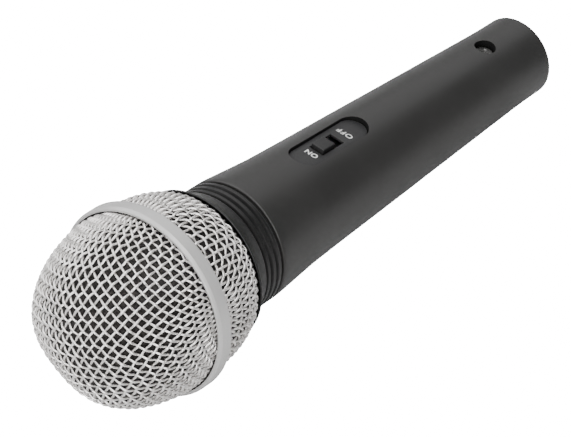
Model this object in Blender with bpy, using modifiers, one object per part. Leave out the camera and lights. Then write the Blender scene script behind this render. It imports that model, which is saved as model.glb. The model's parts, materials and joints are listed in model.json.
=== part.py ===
"""Hand-held dynamic vocal microphone, as an assembly of its separate pieces.

Lengths below are millimetres in the microphone's own frame: u runs along its
axis from the ball to the tail with 0 at the front lip of the grille band, v is
across, and w points out through the on/off switch. The whole frame hangs from
one empty that lays the microphone on the floor, touching it with the band and
with the tail, switch facing up.
"""
import bpy
import bmesh
import math
from mathutils import Matrix, Vector

MM = 0.001
SIDES = 40            # facets round the outer pieces (one facet faces the floor)
INNER_SIDES = 20      # facets round the inner pieces

# --- ball grille ---------------------------------------------------------
WIRE_SKIN = 1.3       # woven sheet, measured over the crossing wires
DOME_C, DOME_R = -2.16, 25.1
BOWL_C, BOWL_R = 8.9, 24.45
BAND_R, BAND_W = 26.3, 4.6
FOAM_T = 2.8

# --- collar and neck -----------------------------------------------------
COLLAR_FRONT, COLLAR_REAR = 21.9, 34.5
COLLAR_LIP_R, COLLAR_R = 21.05, 17.5
RIB_GROOVES = (28.6, 30.65, 32.8)
GROOVE_W, GROOVE_D = 0.5, 0.7
THREAD_R = 15.6       # outside of the neck's thread
THREAD_CLEAR = 0.35
NECK_BORE = 14.4
NECK_FRONT, NECK_REAR = 24.3, 42.0

# --- handle --------------------------------------------------------------
HANDLE_FRONT, HANDLE_REAR = 35.5, 158.5
HANDLE_OUTER = (
    (35.5, 17.15), (35.9, 17.5), (40.0, 17.25), (46.0, 16.7), (54.0, 16.0),
    (68.0, 15.3), (83.0, 14.65), (98.0, 13.98), (113.0, 13.3), (127.0, 12.68),
    (139.0, 12.15), (146.0, 11.84), (152.0, 11.66), (158.15, 11.62), (158.5, 11.25))
SOCKET_R = 8.2        # inside of the tail, where the cable plug goes in
SOCKET_FLOOR = 143.7

# --- switch --------------------------------------------------------------
SLOT_FRONT, SLOT_REAR, SLOT_W = 57.4, 86.1, 8.7
PLATE_C = (71.75, 13.8)
PLATE_SLOPE = math.atan2(1.1, 28.9)
KNOB_L, KNOB_W, KNOB_TRAVEL = 4.9, 4.0, 3.4
KNOB_C = -2.3        # at ON, towards the ball

# --- plug socket ---------------------------------------------------------
PIN_R, PIN_CIRCLE = 1.18, 4.0
PIN_ANGLES = (34.0, 146.0, 270.0)
SET_SCREW_X = 140.5

GAP = 0.3


# =========================================================================
# scene, collections, materials
# =========================================================================
for old in list(bpy.data.objects):
    bpy.data.objects.remove(old, do_unlink=True)

model = bpy.data.collections.new("dynamic_microphone")
guides = bpy.data.collections.new("cutters")
bpy.context.scene.collection.children.link(model)
bpy.context.scene.collection.children.link(guides)


def material(name, colour, roughness, metallic=0.0):
    mat = bpy.data.materials.new(name)
    mat.use_nodes = True
    shader = mat.node_tree.nodes["Principled BSDF"]
    shader.inputs["Base Color"].default_value = (*colour, 1.0)
    shader.inputs["Roughness"].default_value = roughness
    shader.inputs["Metallic"].default_value = metallic
    mat.diffuse_color = (*colour, 1.0)
    return mat


WIRE = material("satin_wire", (0.62, 0.61, 0.60), 0.35, 1.0)
BAND = material("satin_band", (0.56, 0.56, 0.57), 0.45, 0.6)
BLACK_METAL = material("black_coated_metal", (0.035, 0.035, 0.036), 0.42)
BLACK_PLASTIC = material("black_plastic", (0.03, 0.03, 0.03), 0.5)
DARK_PLATE = material("dark_grey_plate", (0.06, 0.06, 0.062), 0.55)
RUBBER = material("black_rubber", (0.02, 0.02, 0.02), 0.8)
FOAM = material("black_foam", (0.015, 0.015, 0.015), 0.95)
BRASS = material("brass", (0.72, 0.55, 0.28), 0.3, 1.0)
STEEL = material("zinc_plated_steel", (0.6, 0.6, 0.58), 0.35, 1.0)
SILVER = material("silver_plate", (0.8, 0.79, 0.76), 0.25, 1.0)
MAGNET = material("magnet", (0.25, 0.25, 0.26), 0.4, 0.8)
FILM = material("clear_film", (0.75, 0.72, 0.6), 0.3)
COPPER = material("copper_wire", (0.72, 0.36, 0.2), 0.35, 1.0)
FELT = material("grey_felt", (0.3, 0.3, 0.3), 0.95)
BOARD = material("phenolic_board", (0.35, 0.2, 0.1), 0.6)
RED = material("red_insulation", (0.45, 0.04, 0.03), 0.5)
WHITE = material("white_insulation", (0.75, 0.74, 0.7), 0.5)

frame = bpy.data.objects.new("mic_axis", None)
model.objects.link(frame)
switch_frame = bpy.data.objects.new("switch_axis", None)
model.objects.link(switch_frame)
switch_frame.parent = frame
switch_frame.matrix_basis = (
    Matrix.Translation(Vector((PLATE_C[0], 0.0, PLATE_C[1])) * MM)
    @ Matrix.Rotation(PLATE_SLOPE, 4, "Y"))


# =========================================================================
# tools
# =========================================================================
def place(name, mesh, mat, matrix=Matrix.Identity(4), parent=frame, cutter=False):
    obj = bpy.data.objects.new(name, mesh)
    (guides if cutter else model).objects.link(obj)
    obj.parent = parent
    obj.matrix_basis = matrix
    if cutter:
        obj.hide_render = True
        obj.display_type = "WIRE"
    elif mat is not None:
        mesh.materials.append(mat)
    return obj


def round_off(obj, angle=32.0):
    obj.data.shade_smooth()
    obj.data.set_sharp_from_angle(angle=math.radians(angle))


def turned(name, profile, mat, sides=SIDES, closed=True, cutter=False):
    """A turned piece: profile of (u, radius) points swept round the axis.

    A closed profile makes a ring or a tube. An open one starts and ends on the
    axis. One facet always faces straight down.
    """
    area = sum((b[0] - a[0]) * (b[1] + a[1])
               for a, b in zip(profile, profile[1:] + profile[:1]))
    points = list(profile)
    if area > 0:              # outer side must run from the tail to the ball
        points.reverse()
    mesh = bpy.data.meshes.new(name)
    verts = [(r * MM, 0.0, u * MM) for u, r in points]
    edges = [(i, i + 1) for i in range(len(verts) - 1)]
    if closed:
        edges.append((len(verts) - 1, 0))
    mesh.from_pydata(verts, edges, [])
    turn = Matrix.Rotation(math.radians(90), 4, "Y") @ Matrix.Rotation(
        math.pi / sides, 4, "Z")
    obj = place(name, mesh, mat, turn, cutter=cutter)
    screw = obj.modifiers.new("turn", "SCREW")
    screw.axis = "Z"
    screw.steps = screw.render_steps = sides
    screw.use_merge_vertices = True
    screw.merge_threshold = 0.000001
    screw.use_smooth_shade = True
    return obj


def offset(points, distance):
    """The same outline moved inwards (towards the axis side) by distance."""
    out = []
    for i, (u, r) in enumerate(points):
        a = points[max(i - 1, 0)]
        b = points[min(i + 1, len(points) - 1)]
        du, dr = b[0] - a[0], b[1] - a[1]
        n = math.hypot(du, dr)
        out.append((u + dr / n * distance, r - du / n * distance))
    return out


def ball(centre, radius, u0, u1, count):
    """Points (u, r) on a sphere from u0 to u1, evenly spaced round the arc."""
    a0 = math.acos(max(-1.0, min(1.0, (u0 - centre) / radius)))
    a1 = math.acos(max(-1.0, min(1.0, (u1 - centre) / radius)))
    out = []
    for i in range(count + 1):
        a = a0 + (a1 - a0) * i / count
        out.append((centre + radius * math.cos(a), max(0.0, radius * math.sin(a))))
    return out


def block(name, low, high, mat, bevel=0.0, parent=frame, cutter=False):
    mesh = bpy.data.meshes.new(name)
    bm = bmesh.new()
    size = [(h - l) * MM for l, h in zip(low, high)]
    bmesh.ops.create_cube(bm, size=1.0, matrix=Matrix.Diagonal((*size, 1.0)))
    bm.to_mesh(mesh)
    bm.free()
    centre = Vector([(l + h) / 2 * MM for l, h in zip(low, high)])
    obj = place(name, mesh, mat, Matrix.Translation(centre), parent, cutter)
    if bevel:
        mod = obj.modifiers.new("edges", "BEVEL")
        mod.width = bevel * MM
        mod.segments = 2
        mod.limit_method = "ANGLE"
    return obj


def rod(name, start, end, radius, mat, sides=16, tip=None, parent=frame, cutter=False):
    """A straight round bar; tip is the radius at its end, for a taper."""
    a, b = Vector(start) * MM, Vector(end) * MM
    mesh = bpy.data.meshes.new(name)
    bm = bmesh.new()
    bmesh.ops.create_cone(bm, cap_ends=True, segments=sides, radius1=radius * MM,
                          radius2=(radius if tip is None else tip) * MM,
                          depth=(b - a).length)
    bm.to_mesh(mesh)
    bm.free()
    turn = (b - a).to_track_quat("Z", "Y").to_matrix().to_4x4()
    return place(name, mesh, mat, Matrix.Translation((a + b) / 2) @ turn, parent, cutter)


def stadium(name, u0, u1, width, w0, w1, mat, parent=frame, cutter=False, arc=10):
    """A slab with two round ends, lying along u, from depth w0 to w1."""
    curve = bpy.data.curves.new(name + "_outline", "CURVE")
    curve.dimensions = "2D"
    curve.fill_mode = "BOTH"
    curve.extrude = (w1 - w0) / 2 * MM
    h = width / 2
    points = [(u1 - h + h * math.cos(a), h * math.sin(a))
              for a in (math.radians(-90 + 180 * i / arc) for i in range(arc + 1))]
    points += [(u0 + h - h * math.cos(a), -h * math.sin(a))
               for a in (math.radians(-90 + 180 * i / arc) for i in range(arc + 1))]
    spline = curve.splines.new("POLY")
    spline.points.add(len(points) - 1)
    for p, (u, v) in zip(spline.points, points):
        p.co = (u * MM, v * MM, 0.0, 1.0)
    spline.use_cyclic_u = True
    drawn = bpy.data.objects.new(name + "_outline", curve)
    guides.objects.link(drawn)
    bpy.context.view_layer.update()
    mesh = bpy.data.meshes.new_from_object(
        drawn.evaluated_get(bpy.context.evaluated_depsgraph_get()))
    bpy.data.objects.remove(drawn, do_unlink=True)
    mesh.materials.clear()
    bm = bmesh.new()
    bm.from_mesh(mesh)
    bmesh.ops.remove_doubles(bm, verts=bm.verts, dist=1e-7)
    bmesh.ops.recalc_face_normals(bm, faces=bm.faces)
    bm.to_mesh(mesh)
    bm.free()
    move = Matrix.Translation(Vector((0.0, 0.0, (w0 + w1) / 2)) * MM)
    return place(name, mesh, mat, move, parent, cutter)


def boolean(obj, cutter, operation="DIFFERENCE"):
    mod = obj.modifiers.new(operation.lower(), "BOOLEAN")
    mod.operation = operation
    mod.solver = "EXACT"
    mod.object = cutter
    return mod


def smooth_route(points, per_span=4):
    """Points along a smooth curve through the given ones."""
    pts = [Vector(p) for p in points]
    pts = [pts[0] * 2 - pts[1]] + pts + [pts[-1] * 2 - pts[-2]]
    out = []
    for i in range(1, len(pts) - 2):
        p0, p1, p2, p3 = pts[i - 1:i + 3]
        for k in range(per_span):
            t = k / per_span
            out.append(0.5 * ((2 * p1) + (p2 - p0) * t
                              + (2 * p0 - 5 * p1 + 4 * p2 - p3) * t * t
                              + (3 * p1 - p0 - 3 * p2 + p3) * t ** 3))
    out.append(pts[-2])
    return out


def lead(name, points, mat, radius=0.45):
    """An insulated wire along a smooth route."""
    curve = bpy.data.curves.new(name, "CURVE")
    curve.dimensions = "3D"
    curve.bevel_depth = radius * MM
    curve.bevel_resolution = 1
    curve.use_fill_caps = True
    route = smooth_route(points)
    spline = curve.splines.new("POLY")
    spline.points.add(len(route) - 1)
    for p, co in zip(spline.points, route):
        p.co = (*(co * MM), 1.0)
    curve.materials.append(mat)
    obj = bpy.data.objects.new(name, curve)
    model.objects.link(obj)
    obj.parent = frame
    return obj


# =========================================================================
# ball grille: two woven halves crimped in a band, foam inside, ribbed collar
# =========================================================================
dome_outer = ball(DOME_C, DOME_R, DOME_C - DOME_R, 1.2, 9)
dome_inner = ball(DOME_C, DOME_R - WIRE_SKIN, DOME_C - DOME_R + WIRE_SKIN, 1.2, 9)
turned("grille_front_mesh", dome_outer + dome_inner[::-1], WIRE, closed=False)

bowl_outer = [p for p in ball(BOWL_C, BOWL_R, 1.8, 19.4, 6)]
bowl_outer += [(21.0, 20.95), (22.0, 20.1), (23.0, 19.3)]
bowl_inner = offset(bowl_outer, -WIRE_SKIN)
if bowl_inner[1][1] > bowl_outer[1][1]:
    bowl_inner = offset(bowl_outer, WIRE_SKIN)
turned("grille_rear_mesh", bowl_outer + bowl_inner[::-1], WIRE)

turned("grille_band", [
    (0.0, 25.6), (0.3, 26.0), (1.0, BAND_R), (BAND_W - 0.4, BAND_R), (BAND_W, 26.0),
    (BAND_W, 24.5), (BAND_W - 0.5, 24.5), (BAND_W - 0.6, 25.55), (0.55, 25.55),
    (0.0, 25.3)], BAND)

foam_outer = ball(DOME_C, DOME_R - WIRE_SKIN - 0.35, DOME_C - DOME_R + WIRE_SKIN + 0.35, 1.0, 7)
foam_inner = ball(DOME_C, DOME_R - WIRE_SKIN - 0.35 - FOAM_T,
                  DOME_C - DOME_R + WIRE_SKIN + 0.35 + FOAM_T, 1.0, 6)
turned("foam_cup", foam_outer + foam_inner[::-1], FOAM, INNER_SIDES + 4, closed=False)

liner = [p for p in bowl_outer if p[0] < 21.5]
inward = 1.0 if offset(liner, 1.0)[1][1] < liner[1][1] else -1.0
ring_outer = offset(liner, inward * (WIRE_SKIN + 0.45))
ring_inner = offset(liner, inward * (WIRE_SKIN + 0.45 + FOAM_T))
ring_outer[0] = (1.7, ring_outer[0][1] - 0.1)
ring_inner[0] = (1.7, ring_inner[0][1])
turned("foam_ring", ring_outer + ring_inner[::-1], FOAM, INNER_SIDES + 4)

outside = [(COLLAR_FRONT, 20.8), (22.1, COLLAR_LIP_R), (22.6, 20.95), (24.2, 19.75),
           (26.0, 18.65), (27.6, 17.8)]
for g in RIB_GROOVES:
    h = GROOVE_W / 2
    outside += [(g - h - 0.08, COLLAR_R), (g - h + 0.06, COLLAR_R - GROOVE_D),
                (g + h - 0.06, COLLAR_R - GROOVE_D), (g + h + 0.08, COLLAR_R)]
outside += [(COLLAR_REAR - 0.3, COLLAR_R), (COLLAR_REAR, COLLAR_R - 0.3)]
bore = THREAD_R + THREAD_CLEAR
inside = [(COLLAR_REAR, bore), (24.1, bore), (23.5, 17.2), (23.4, 19.75),
          (COLLAR_FRONT, 20.6)]
turned("grille_collar", outside + inside, BLACK_METAL)

turned("collar_seal_ring", [(34.8, bore + 0.05), (34.8, 16.95), (35.2, 16.95),
                            (35.2, bore + 0.05)], RUBBER)

# =========================================================================
# handle: threaded neck bush and one tapered shell
# =========================================================================
turned("threaded_neck", [
    (NECK_FRONT, 15.1), (NECK_FRONT + 0.5, THREAD_R), (33.6, THREAD_R),
    (33.9, 15.1), (34.9, 15.1), (35.2, THREAD_R), (NECK_REAR, THREAD_R),
    (NECK_REAR, NECK_BORE), (NECK_FRONT, NECK_BORE)], BRASS, 32)

handle = turned("handle_shell", list(HANDLE_OUTER) + [
    (HANDLE_REAR, SOCKET_R + 0.4), (HANDLE_REAR - 0.4, SOCKET_R), (132.6, SOCKET_R),
    (130.4, 10.45), (86.0, 12.55), (60.0, 13.75), (42.4, 14.2),
    (42.4, THREAD_R + GAP), (HANDLE_FRONT, THREAD_R + GAP)], BLACK_METAL)

# the switch recess goes right through the wall and follows the wall's slope
boolean(handle, stadium("slot_cutter", SLOT_FRONT - PLATE_C[0], SLOT_REAR - PLATE_C[0],
                        SLOT_W, -3.0, 8.0, None, switch_frame, True))
# counterbore and clearance hole of the set screw
boolean(handle, rod("screw_well_cutter", (SET_SCREW_X, 0, 8.9), (SET_SCREW_X, 0, 16.0),
                    3.0, None, 24, cutter=True))
boolean(handle, rod("screw_hole_cutter", (SET_SCREW_X, 0, 7.0), (SET_SCREW_X, 0, 10.0),
                    1.65, None, 16, cutter=True))

# =========================================================================
# on/off slide switch, in its own sloped frame (its 0 is the plate's top face)
# =========================================================================
half = (SLOT_REAR - SLOT_FRONT) / 2 - GAP
plate = stadium("switch_plate", -half, half, SLOT_W - 2 * GAP, -0.8, 0.0, DARK_PLATE,
                switch_frame)
for side in (-1, 1):
    boolean(plate, rod(f"boss_{side}", (side * 11.2, 0, -2.6), (side * 11.2, 0, -0.4),
                       1.7, None, 16, parent=switch_frame, cutter=True), "UNION")
    boolean(plate, rod(f"boss_hole_{side}", (side * 11.2, 0, -3.0),
                       (side * 11.2, 0, -1.0), 1.05, None, 12, parent=switch_frame,
                       cutter=True))
boolean(plate, block("window_cutter", (KNOB_C - KNOB_L / 2 - GAP, -KNOB_W / 2 - GAP, -2),
                     (KNOB_C + KNOB_L / 2 + KNOB_TRAVEL + GAP, KNOB_W / 2 + GAP, 2),
                     None, parent=switch_frame, cutter=True))

shell = block("switch_frame", (-13.2, -3.0, -3.4), (13.2, 3.0, -2.9), STEEL,
              parent=switch_frame)
boolean(shell, block("shell_box", (-7.6, -3.9, -8.2), (7.6, 3.9, -2.9), None,
                     parent=switch_frame, cutter=True), "UNION")
boolean(shell, block("shell_hollow", (-7.1, -3.4, -9.0), (7.1, 3.4, -3.4), None,
                     parent=switch_frame, cutter=True))
boolean(shell, block("shell_slot", (KNOB_C - KNOB_L / 2 - GAP, -KNOB_W / 2 - GAP, -4),
                     (KNOB_C + KNOB_L / 2 + KNOB_TRAVEL + GAP, KNOB_W / 2 + GAP, -2),
                     None, parent=switch_frame, cutter=True))
for side in (-1, 1):
    boolean(shell, rod(f"ear_hole_{side}", (side * 11.2, 0, -4.0), (side * 11.2, 0, -2.0),
                       1.05, None, 12, parent=switch_frame, cutter=True))

for side, name in ((-1, "switch_screw_front"), (1, "switch_screw_rear")):
    screw = rod(name, (side * 11.2, 0, -4.7), (side * 11.2, 0, -3.7), 1.6, STEEL, 16,
                parent=switch_frame)
    boolean(screw, rod(name + "_shank", (side * 11.2, 0, -4.0), (side * 11.2, 0, -1.3),
                       0.75, None, 12, parent=switch_frame, cutter=True), "UNION")

knob = block("switch_knob", (KNOB_C - KNOB_L / 2, -KNOB_W / 2, -4.5),
             (KNOB_C + KNOB_L / 2, KNOB_W / 2, 1.25), BLACK_PLASTIC, 0.25, switch_frame)
boolean(knob, block("knob_foot", (KNOB_C - 4.0, -3.0, -5.5), (KNOB_C + 4.6, 3.0, -3.7),
                    None, parent=switch_frame, cutter=True), "UNION")

# bowed contact leaf under the slider
leaf_mesh = bpy.data.meshes.new("moving_contact")
leaf_bm = bmesh.new()
previous = None
for i in range(7):
    u = KNOB_C - 3.2 + 6.4 * i / 6
    w = -6.45 + 0.45 * math.sin(math.pi * i / 6)
    row = [leaf_bm.verts.new((u * MM, v * MM, w * MM)) for v in (-1.3, 1.3)]
    if previous:
        leaf_bm.faces.new((previous[0], row[0], row[1], previous[1]))
    previous = row
leaf_bm.to_mesh(leaf_mesh)
leaf_bm.free()
leaf = place("moving_contact", leaf_mesh, BRASS, parent=switch_frame)
thick = leaf.modifiers.new("thickness", "SOLIDIFY")
thick.thickness = 0.25 * MM
thick.offset = 0.0

base = block("switch_base", (-6.8, -3.1, -8.1), (6.8, 3.1, -7.3), BOARD,
             parent=switch_frame)
for i, u in enumerate((-4.6, -0.6, 3.4)):
    boolean(base, block(f"terminal_slot_{i + 1}", (u - 0.6, -1.2, -9), (u + 0.6, 1.2, -7),
                        None, parent=switch_frame, cutter=True))
    block(f"switch_terminal_{i + 1}", (u - 0.25, -0.85, -10.6), (u + 0.25, 0.85, -6.85),
          BRASS, parent=switch_frame)

# =========================================================================
# plug socket in the tail
# =========================================================================
insert = rod("xlr_insert", (134.0, 0, 0), (SOCKET_FLOOR, 0, 0), 7.9, BLACK_PLASTIC, 32)
for i, angle in enumerate(PIN_ANGLES):
    v = PIN_CIRCLE * math.cos(math.radians(angle))
    w = PIN_CIRCLE * math.sin(math.radians(angle))
    boolean(insert, rod(f"pin_hole_{i + 1}", (130, v, w), (148, v, w), PIN_R + GAP, None,
                        12, cutter=True))
    pin = rod(f"xlr_pin_{i + 1}", (131.4, v, w), (155.2, v, w), PIN_R, SILVER, 12)
    tip = pin.modifiers.new("tip", "BEVEL")
    tip.width = 0.45 * MM
    tip.segments = 2
    tip.limit_method = "ANGLE"
    tip.angle_limit = math.radians(60)
boolean(insert, rod("insert_screw_hole", (SET_SCREW_X, 0, 4.9), (SET_SCREW_X, 0, 9.0),
                    1.65, None, 16, cutter=True))

set_screw = rod("xlr_set_screw", (SET_SCREW_X, 0, 9.2), (SET_SCREW_X, 0, 10.0), 2.6,
                STEEL, 24)
boolean(set_screw, rod("set_screw_shank", (SET_SCREW_X, 0, 5.3), (SET_SCREW_X, 0, 9.4),
                       1.35, None, 12, cutter=True), "UNION")
for turn in (0, 1):
    lo, hi = ((-1.6, -0.35), (1.6, 0.35)) if turn else ((-0.35, -1.6), (0.35, 1.6))
    boolean(set_screw, block(f"cross_{turn}", (SET_SCREW_X + lo[0], lo[1], 9.55),
                             (SET_SCREW_X + hi[0], hi[1], 11.5), None, cutter=True))

block("ground_tab", (133.2, 4.8, 1.2), (133.6, 7.4, 3.0), BRASS)

# =========================================================================
# capsule on its rubber mounts
# =========================================================================
turned("shock_mount_front", [(25.5, 12.95), (25.5, 13.7), (26.1, 14.1), (30.4, 14.1),
                             (31.0, 13.7), (31.0, 12.95)], RUBBER, INNER_SIDES)
turned("shock_mount_rear", [(35.0, 10.95), (35.0, 13.7), (35.5, 14.1), (38.8, 14.1),
                            (39.3, 13.7), (39.3, 10.95)], RUBBER, INNER_SIDES)
turned("capsule_housing", [
    (4.7, 12.6), (32.0, 12.6), (32.4, 12.2), (33.4, 10.6), (40.0, 10.6), (40.0, 2.5),
    (39.0, 2.5), (39.0, 9.6), (32.6, 9.6), (31.4, 11.6), (4.7, 11.6)],
    BLACK_PLASTIC, INNER_SIDES)

cap = turned("resonator_cap", [(2.6, 0.0), (2.6, 12.2), (3.0, 12.6), (4.4, 12.6),
                               (4.4, 11.8), (3.6, 11.8), (3.6, 0.0)], BLACK_PLASTIC,
             INNER_SIDES, closed=False)
for i in range(6):
    a = math.radians(60 * i + 30)
    boolean(cap, rod(f"cap_hole_{i + 1}", (1, 7.2 * math.cos(a), 7.2 * math.sin(a)),
                     (6, 7.2 * math.cos(a), 7.2 * math.sin(a)), 1.9, None, 12,
                     cutter=True))
boolean(cap, rod("cap_hole_centre", (1, 0, 0), (6, 0, 0), 2.2, None, 12, cutter=True))

rod("acoustic_screen", (3.95, 0, 0), (4.35, 0, 0), 11.3, FELT, INNER_SIDES)

film = [(5.45, 0.0), (5.6, 2.4), (6.05, 4.6), (6.85, 6.5), (6.4, 7.8), (6.3, 9.2),
        (6.75, 10.4), (6.9, 11.2)]
film_back = [(u + 0.25, r) for u, r in film]
turned("diaphragm", film + film_back[::-1], FILM, INNER_SIDES, closed=False)
turned("voice_coil", [(7.45, 6.7), (7.45, 7.2), (11.3, 7.2), (11.3, 6.7)], COPPER,
       INNER_SIDES)
turned("pole_top_plate", [(9.4, 7.65), (9.4, 11.25), (11.9, 11.25), (11.9, 7.65)], STEEL,
       INNER_SIDES)
rod("pole_piece", (9.4, 0, 0), (11.9, 0, 0), 6.2, STEEL, INNER_SIDES)
rod("magnet", (12.2, 0, 0), (17.2, 0, 0), 5.8, MAGNET, INNER_SIDES)
yoke = rod("yoke_cup", (12.2, 0, 0), (19.4, 0, 0), 11.25, STEEL, INNER_SIDES)
boolean(yoke, rod("yoke_hollow", (11.0, 0, 0), (17.5, 0, 0), 9.6, None, INNER_SIDES,
                  cutter=True))

rod("capsule_terminal_board", (40.3, 0, 0), (41.1, 0, 0), 8.6, BOARD, INNER_SIDES)
block("capsule_lug_hot", (41.4, 3.0, -1.1), (43.8, 3.4, 1.1), BRASS)
block("capsule_lug_cold", (41.4, -3.4, -1.1), (43.8, -3.0, 1.1), BRASS)

# =========================================================================
# leads: capsule to switch, switch to the socket's pins
# =========================================================================
pin2 = (PIN_CIRCLE * math.cos(math.radians(PIN_ANGLES[1])),
        PIN_CIRCLE * math.sin(math.radians(PIN_ANGLES[1])))
lead("lead_capsule_hot", [(44.9, 3.2, 0.0), (50, 3.4, -0.6), (57, 2.6, -1.4),
                          (63, 1.2, -0.4), (67.0, 0.0, 2.05)], RED)
lead("lead_capsule_cold", [(44.9, -3.2, 0.0), (50, -3.6, -1.2), (58, -3.4, -2.6),
                           (68, -2.6, -2.6), (74.2, -1.4, -0.1), (75.2, -0.2, 1.65)],
     WHITE)
lead("lead_pin_hot", [(71.2, 0.0, 1.95), (73.0, 1.6, -0.3), (80, 2.6, -2.0),
                      (96, 2.4, -1.6), (114, 0.4, 0.6), (126, -2.6, 2.0),
                      (131.0, pin2[0], pin2[1])], RED)
lead("lead_pin_cold", [(77.2, -0.2, 1.55), (80, -1.4, -0.3), (90, -2.2, -2.2),
                       (106, -1.8, -3.0), (122, -0.4, -3.8),
                       (131.0, 0.0, -PIN_CIRCLE)], WHITE)

# =========================================================================
# lay it down: tilt so that band and tail touch the floor, centre its box
# =========================================================================
apothem = math.cos(math.pi / SIDES)
tilt = math.atan2((BAND_R - HANDLE_OUTER[-2][1]) * apothem,
                  HANDLE_OUTER[-2][0] - (BAND_W - 0.4))
frame.matrix_basis = Matrix.Rotation(tilt, 4, "Y")

bpy.context.view_layer.update()
graph = bpy.context.evaluated_depsgraph_get()
low = Vector((1e9,) * 3)
high = Vector((-1e9,) * 3)
for obj in model.objects:
    if obj.type == "EMPTY":
        continue
    seen = obj.evaluated_get(graph)
    mesh = seen.to_mesh()
    for vert in mesh.vertices:
        p = seen.matrix_world @ vert.co
        low = Vector(map(min, low, p))
        high = Vector(map(max, high, p))
    seen.to_mesh_clear()
frame.matrix_basis = Matrix.Translation(
    (-(low.x + high.x) / 2, -(low.y + high.y) / 2, -low.z)) @ frame.matrix_basis
bpy.context.view_layer.update()
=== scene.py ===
"""Looks of the hand-held dynamic microphone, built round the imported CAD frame.

Lengths in the builders are millimetres in the microphone's own frame: u along
its axis from the ball to the tail, 0 at the band's front lip, v across, w out
through the on/off switch. P() takes them to the world.
"""
import json
import math

import bmesh
import bpy
import numpy as np
from mathutils import Matrix, Vector


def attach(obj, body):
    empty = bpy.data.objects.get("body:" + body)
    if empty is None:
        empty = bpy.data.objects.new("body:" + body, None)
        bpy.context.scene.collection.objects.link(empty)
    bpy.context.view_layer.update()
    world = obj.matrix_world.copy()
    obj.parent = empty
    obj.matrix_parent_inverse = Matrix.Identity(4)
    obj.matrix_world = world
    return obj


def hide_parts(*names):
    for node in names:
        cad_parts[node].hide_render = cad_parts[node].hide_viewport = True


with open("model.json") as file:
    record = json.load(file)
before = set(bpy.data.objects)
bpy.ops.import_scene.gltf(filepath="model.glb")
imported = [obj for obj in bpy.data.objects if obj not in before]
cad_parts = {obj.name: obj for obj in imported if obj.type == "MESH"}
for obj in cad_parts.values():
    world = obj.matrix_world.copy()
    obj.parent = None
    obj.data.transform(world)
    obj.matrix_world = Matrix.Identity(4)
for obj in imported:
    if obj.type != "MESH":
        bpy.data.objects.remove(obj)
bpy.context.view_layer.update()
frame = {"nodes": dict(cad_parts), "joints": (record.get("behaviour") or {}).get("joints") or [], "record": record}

MM = 0.001
NODES = frame["nodes"]
RECORD = frame["record"]

# ------------------------------------------------------------------ frame
rim = next(m for m in RECORD["mounts"] if m["name"] == "tail_rim")
EX = Vector(rim["axis"]).normalized()
EY = Vector((0.0, 1.0, 0.0))
EZ = EX.cross(EY).normalized()
TAIL_U = 158.5
ORIGIN = Vector(rim["pos_m"]) - EX * (TAIL_U * MM)
ORIGIN.y = 0.0
ROT = Matrix((EX, EY, EZ)).transposed()
ROT_NP = np.array(ROT)
ORG_NP = np.array(ORIGIN)


def P(points):
    """Microphone millimetres to world metres, for an (n, 3) array."""
    return np.asarray(points, float) @ ROT_NP.T * MM + ORG_NP


# the switch plate's own sloping frame
SLIDE = next(j for j in frame["joints"] if j["name"] == "switch_slide")
PLATE_C = (71.75, 13.8)
PLATE_SLOPE = math.atan2(1.1, 28.9)


def plate_to_mic(points):
    p = np.asarray(points, float)
    c, s = math.cos(PLATE_SLOPE), math.sin(PLATE_SLOPE)
    return np.stack([p[:, 0] * c + p[:, 2] * s + PLATE_C[0], p[:, 1],
                     -p[:, 0] * s + p[:, 2] * c + PLATE_C[1]], 1)


# ------------------------------------------------------------------ camera
ROLL = math.radians(1.9)
CAM_POS = Vector((-552.27, -376.77, 595.98))
CAM_FWD = Vector((0.65276, 0.40270, -0.64167))
CAM_UP = Vector((0.41827, 0.51462, 0.74847))
LENS = 226.97


def rolled(p):
    """The vector turned about the microphone's axis by ROLL."""
    c, s = math.cos(ROLL), math.sin(ROLL)
    return Vector((p[0], p[1] * c - p[2] * s, p[1] * s + p[2] * c))


CAM_POS, CAM_FWD, CAM_UP = rolled(CAM_POS), rolled(CAM_FWD), rolled(CAM_UP)

fwd = (ROT @ CAM_FWD).normalized()
right = fwd.cross(ROT @ CAM_UP).normalized()
up = right.cross(fwd)
cam_data = bpy.data.cameras.new("camera")
cam_data.lens = LENS
cam_data.sensor_width = 36.0
cam_data.clip_start = 0.05
cam_data.clip_end = 20.0
camera = bpy.data.objects.new("camera", cam_data)
bpy.context.scene.collection.objects.link(camera)
camera.matrix_world = Matrix.Translation(Vector(P([CAM_POS])[0])) @ Matrix(
    (right, up, -fwd)).transposed().to_4x4()
bpy.context.scene.camera = camera


# ------------------------------------------------------------------ mesh tools
def link(name, verts, faces, smooth=True, sharp=None):
    mesh = bpy.data.meshes.new(name)
    mesh.from_pydata([tuple(v) for v in verts], [], [tuple(f) for f in faces])
    mesh.update()
    obj = bpy.data.objects.new(name, mesh)
    bpy.context.scene.collection.objects.link(obj)
    if smooth:
        mesh.shade_smooth()
        if sharp:
            mesh.set_sharp_from_angle(angle=math.radians(sharp))
    return obj


def dense(profile, step=0.6):
    """The profile with extra points on its long straight runs."""
    out = [profile[0]]
    for a, b in zip(profile, profile[1:]):
        n = max(1, int(math.ceil(math.hypot(b[0] - a[0], b[1] - a[1]) / step)))
        for k in range(1, n + 1):
            out.append((a[0] + (b[0] - a[0]) * k / n, a[1] + (b[1] - a[1]) * k / n))
    return out


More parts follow.
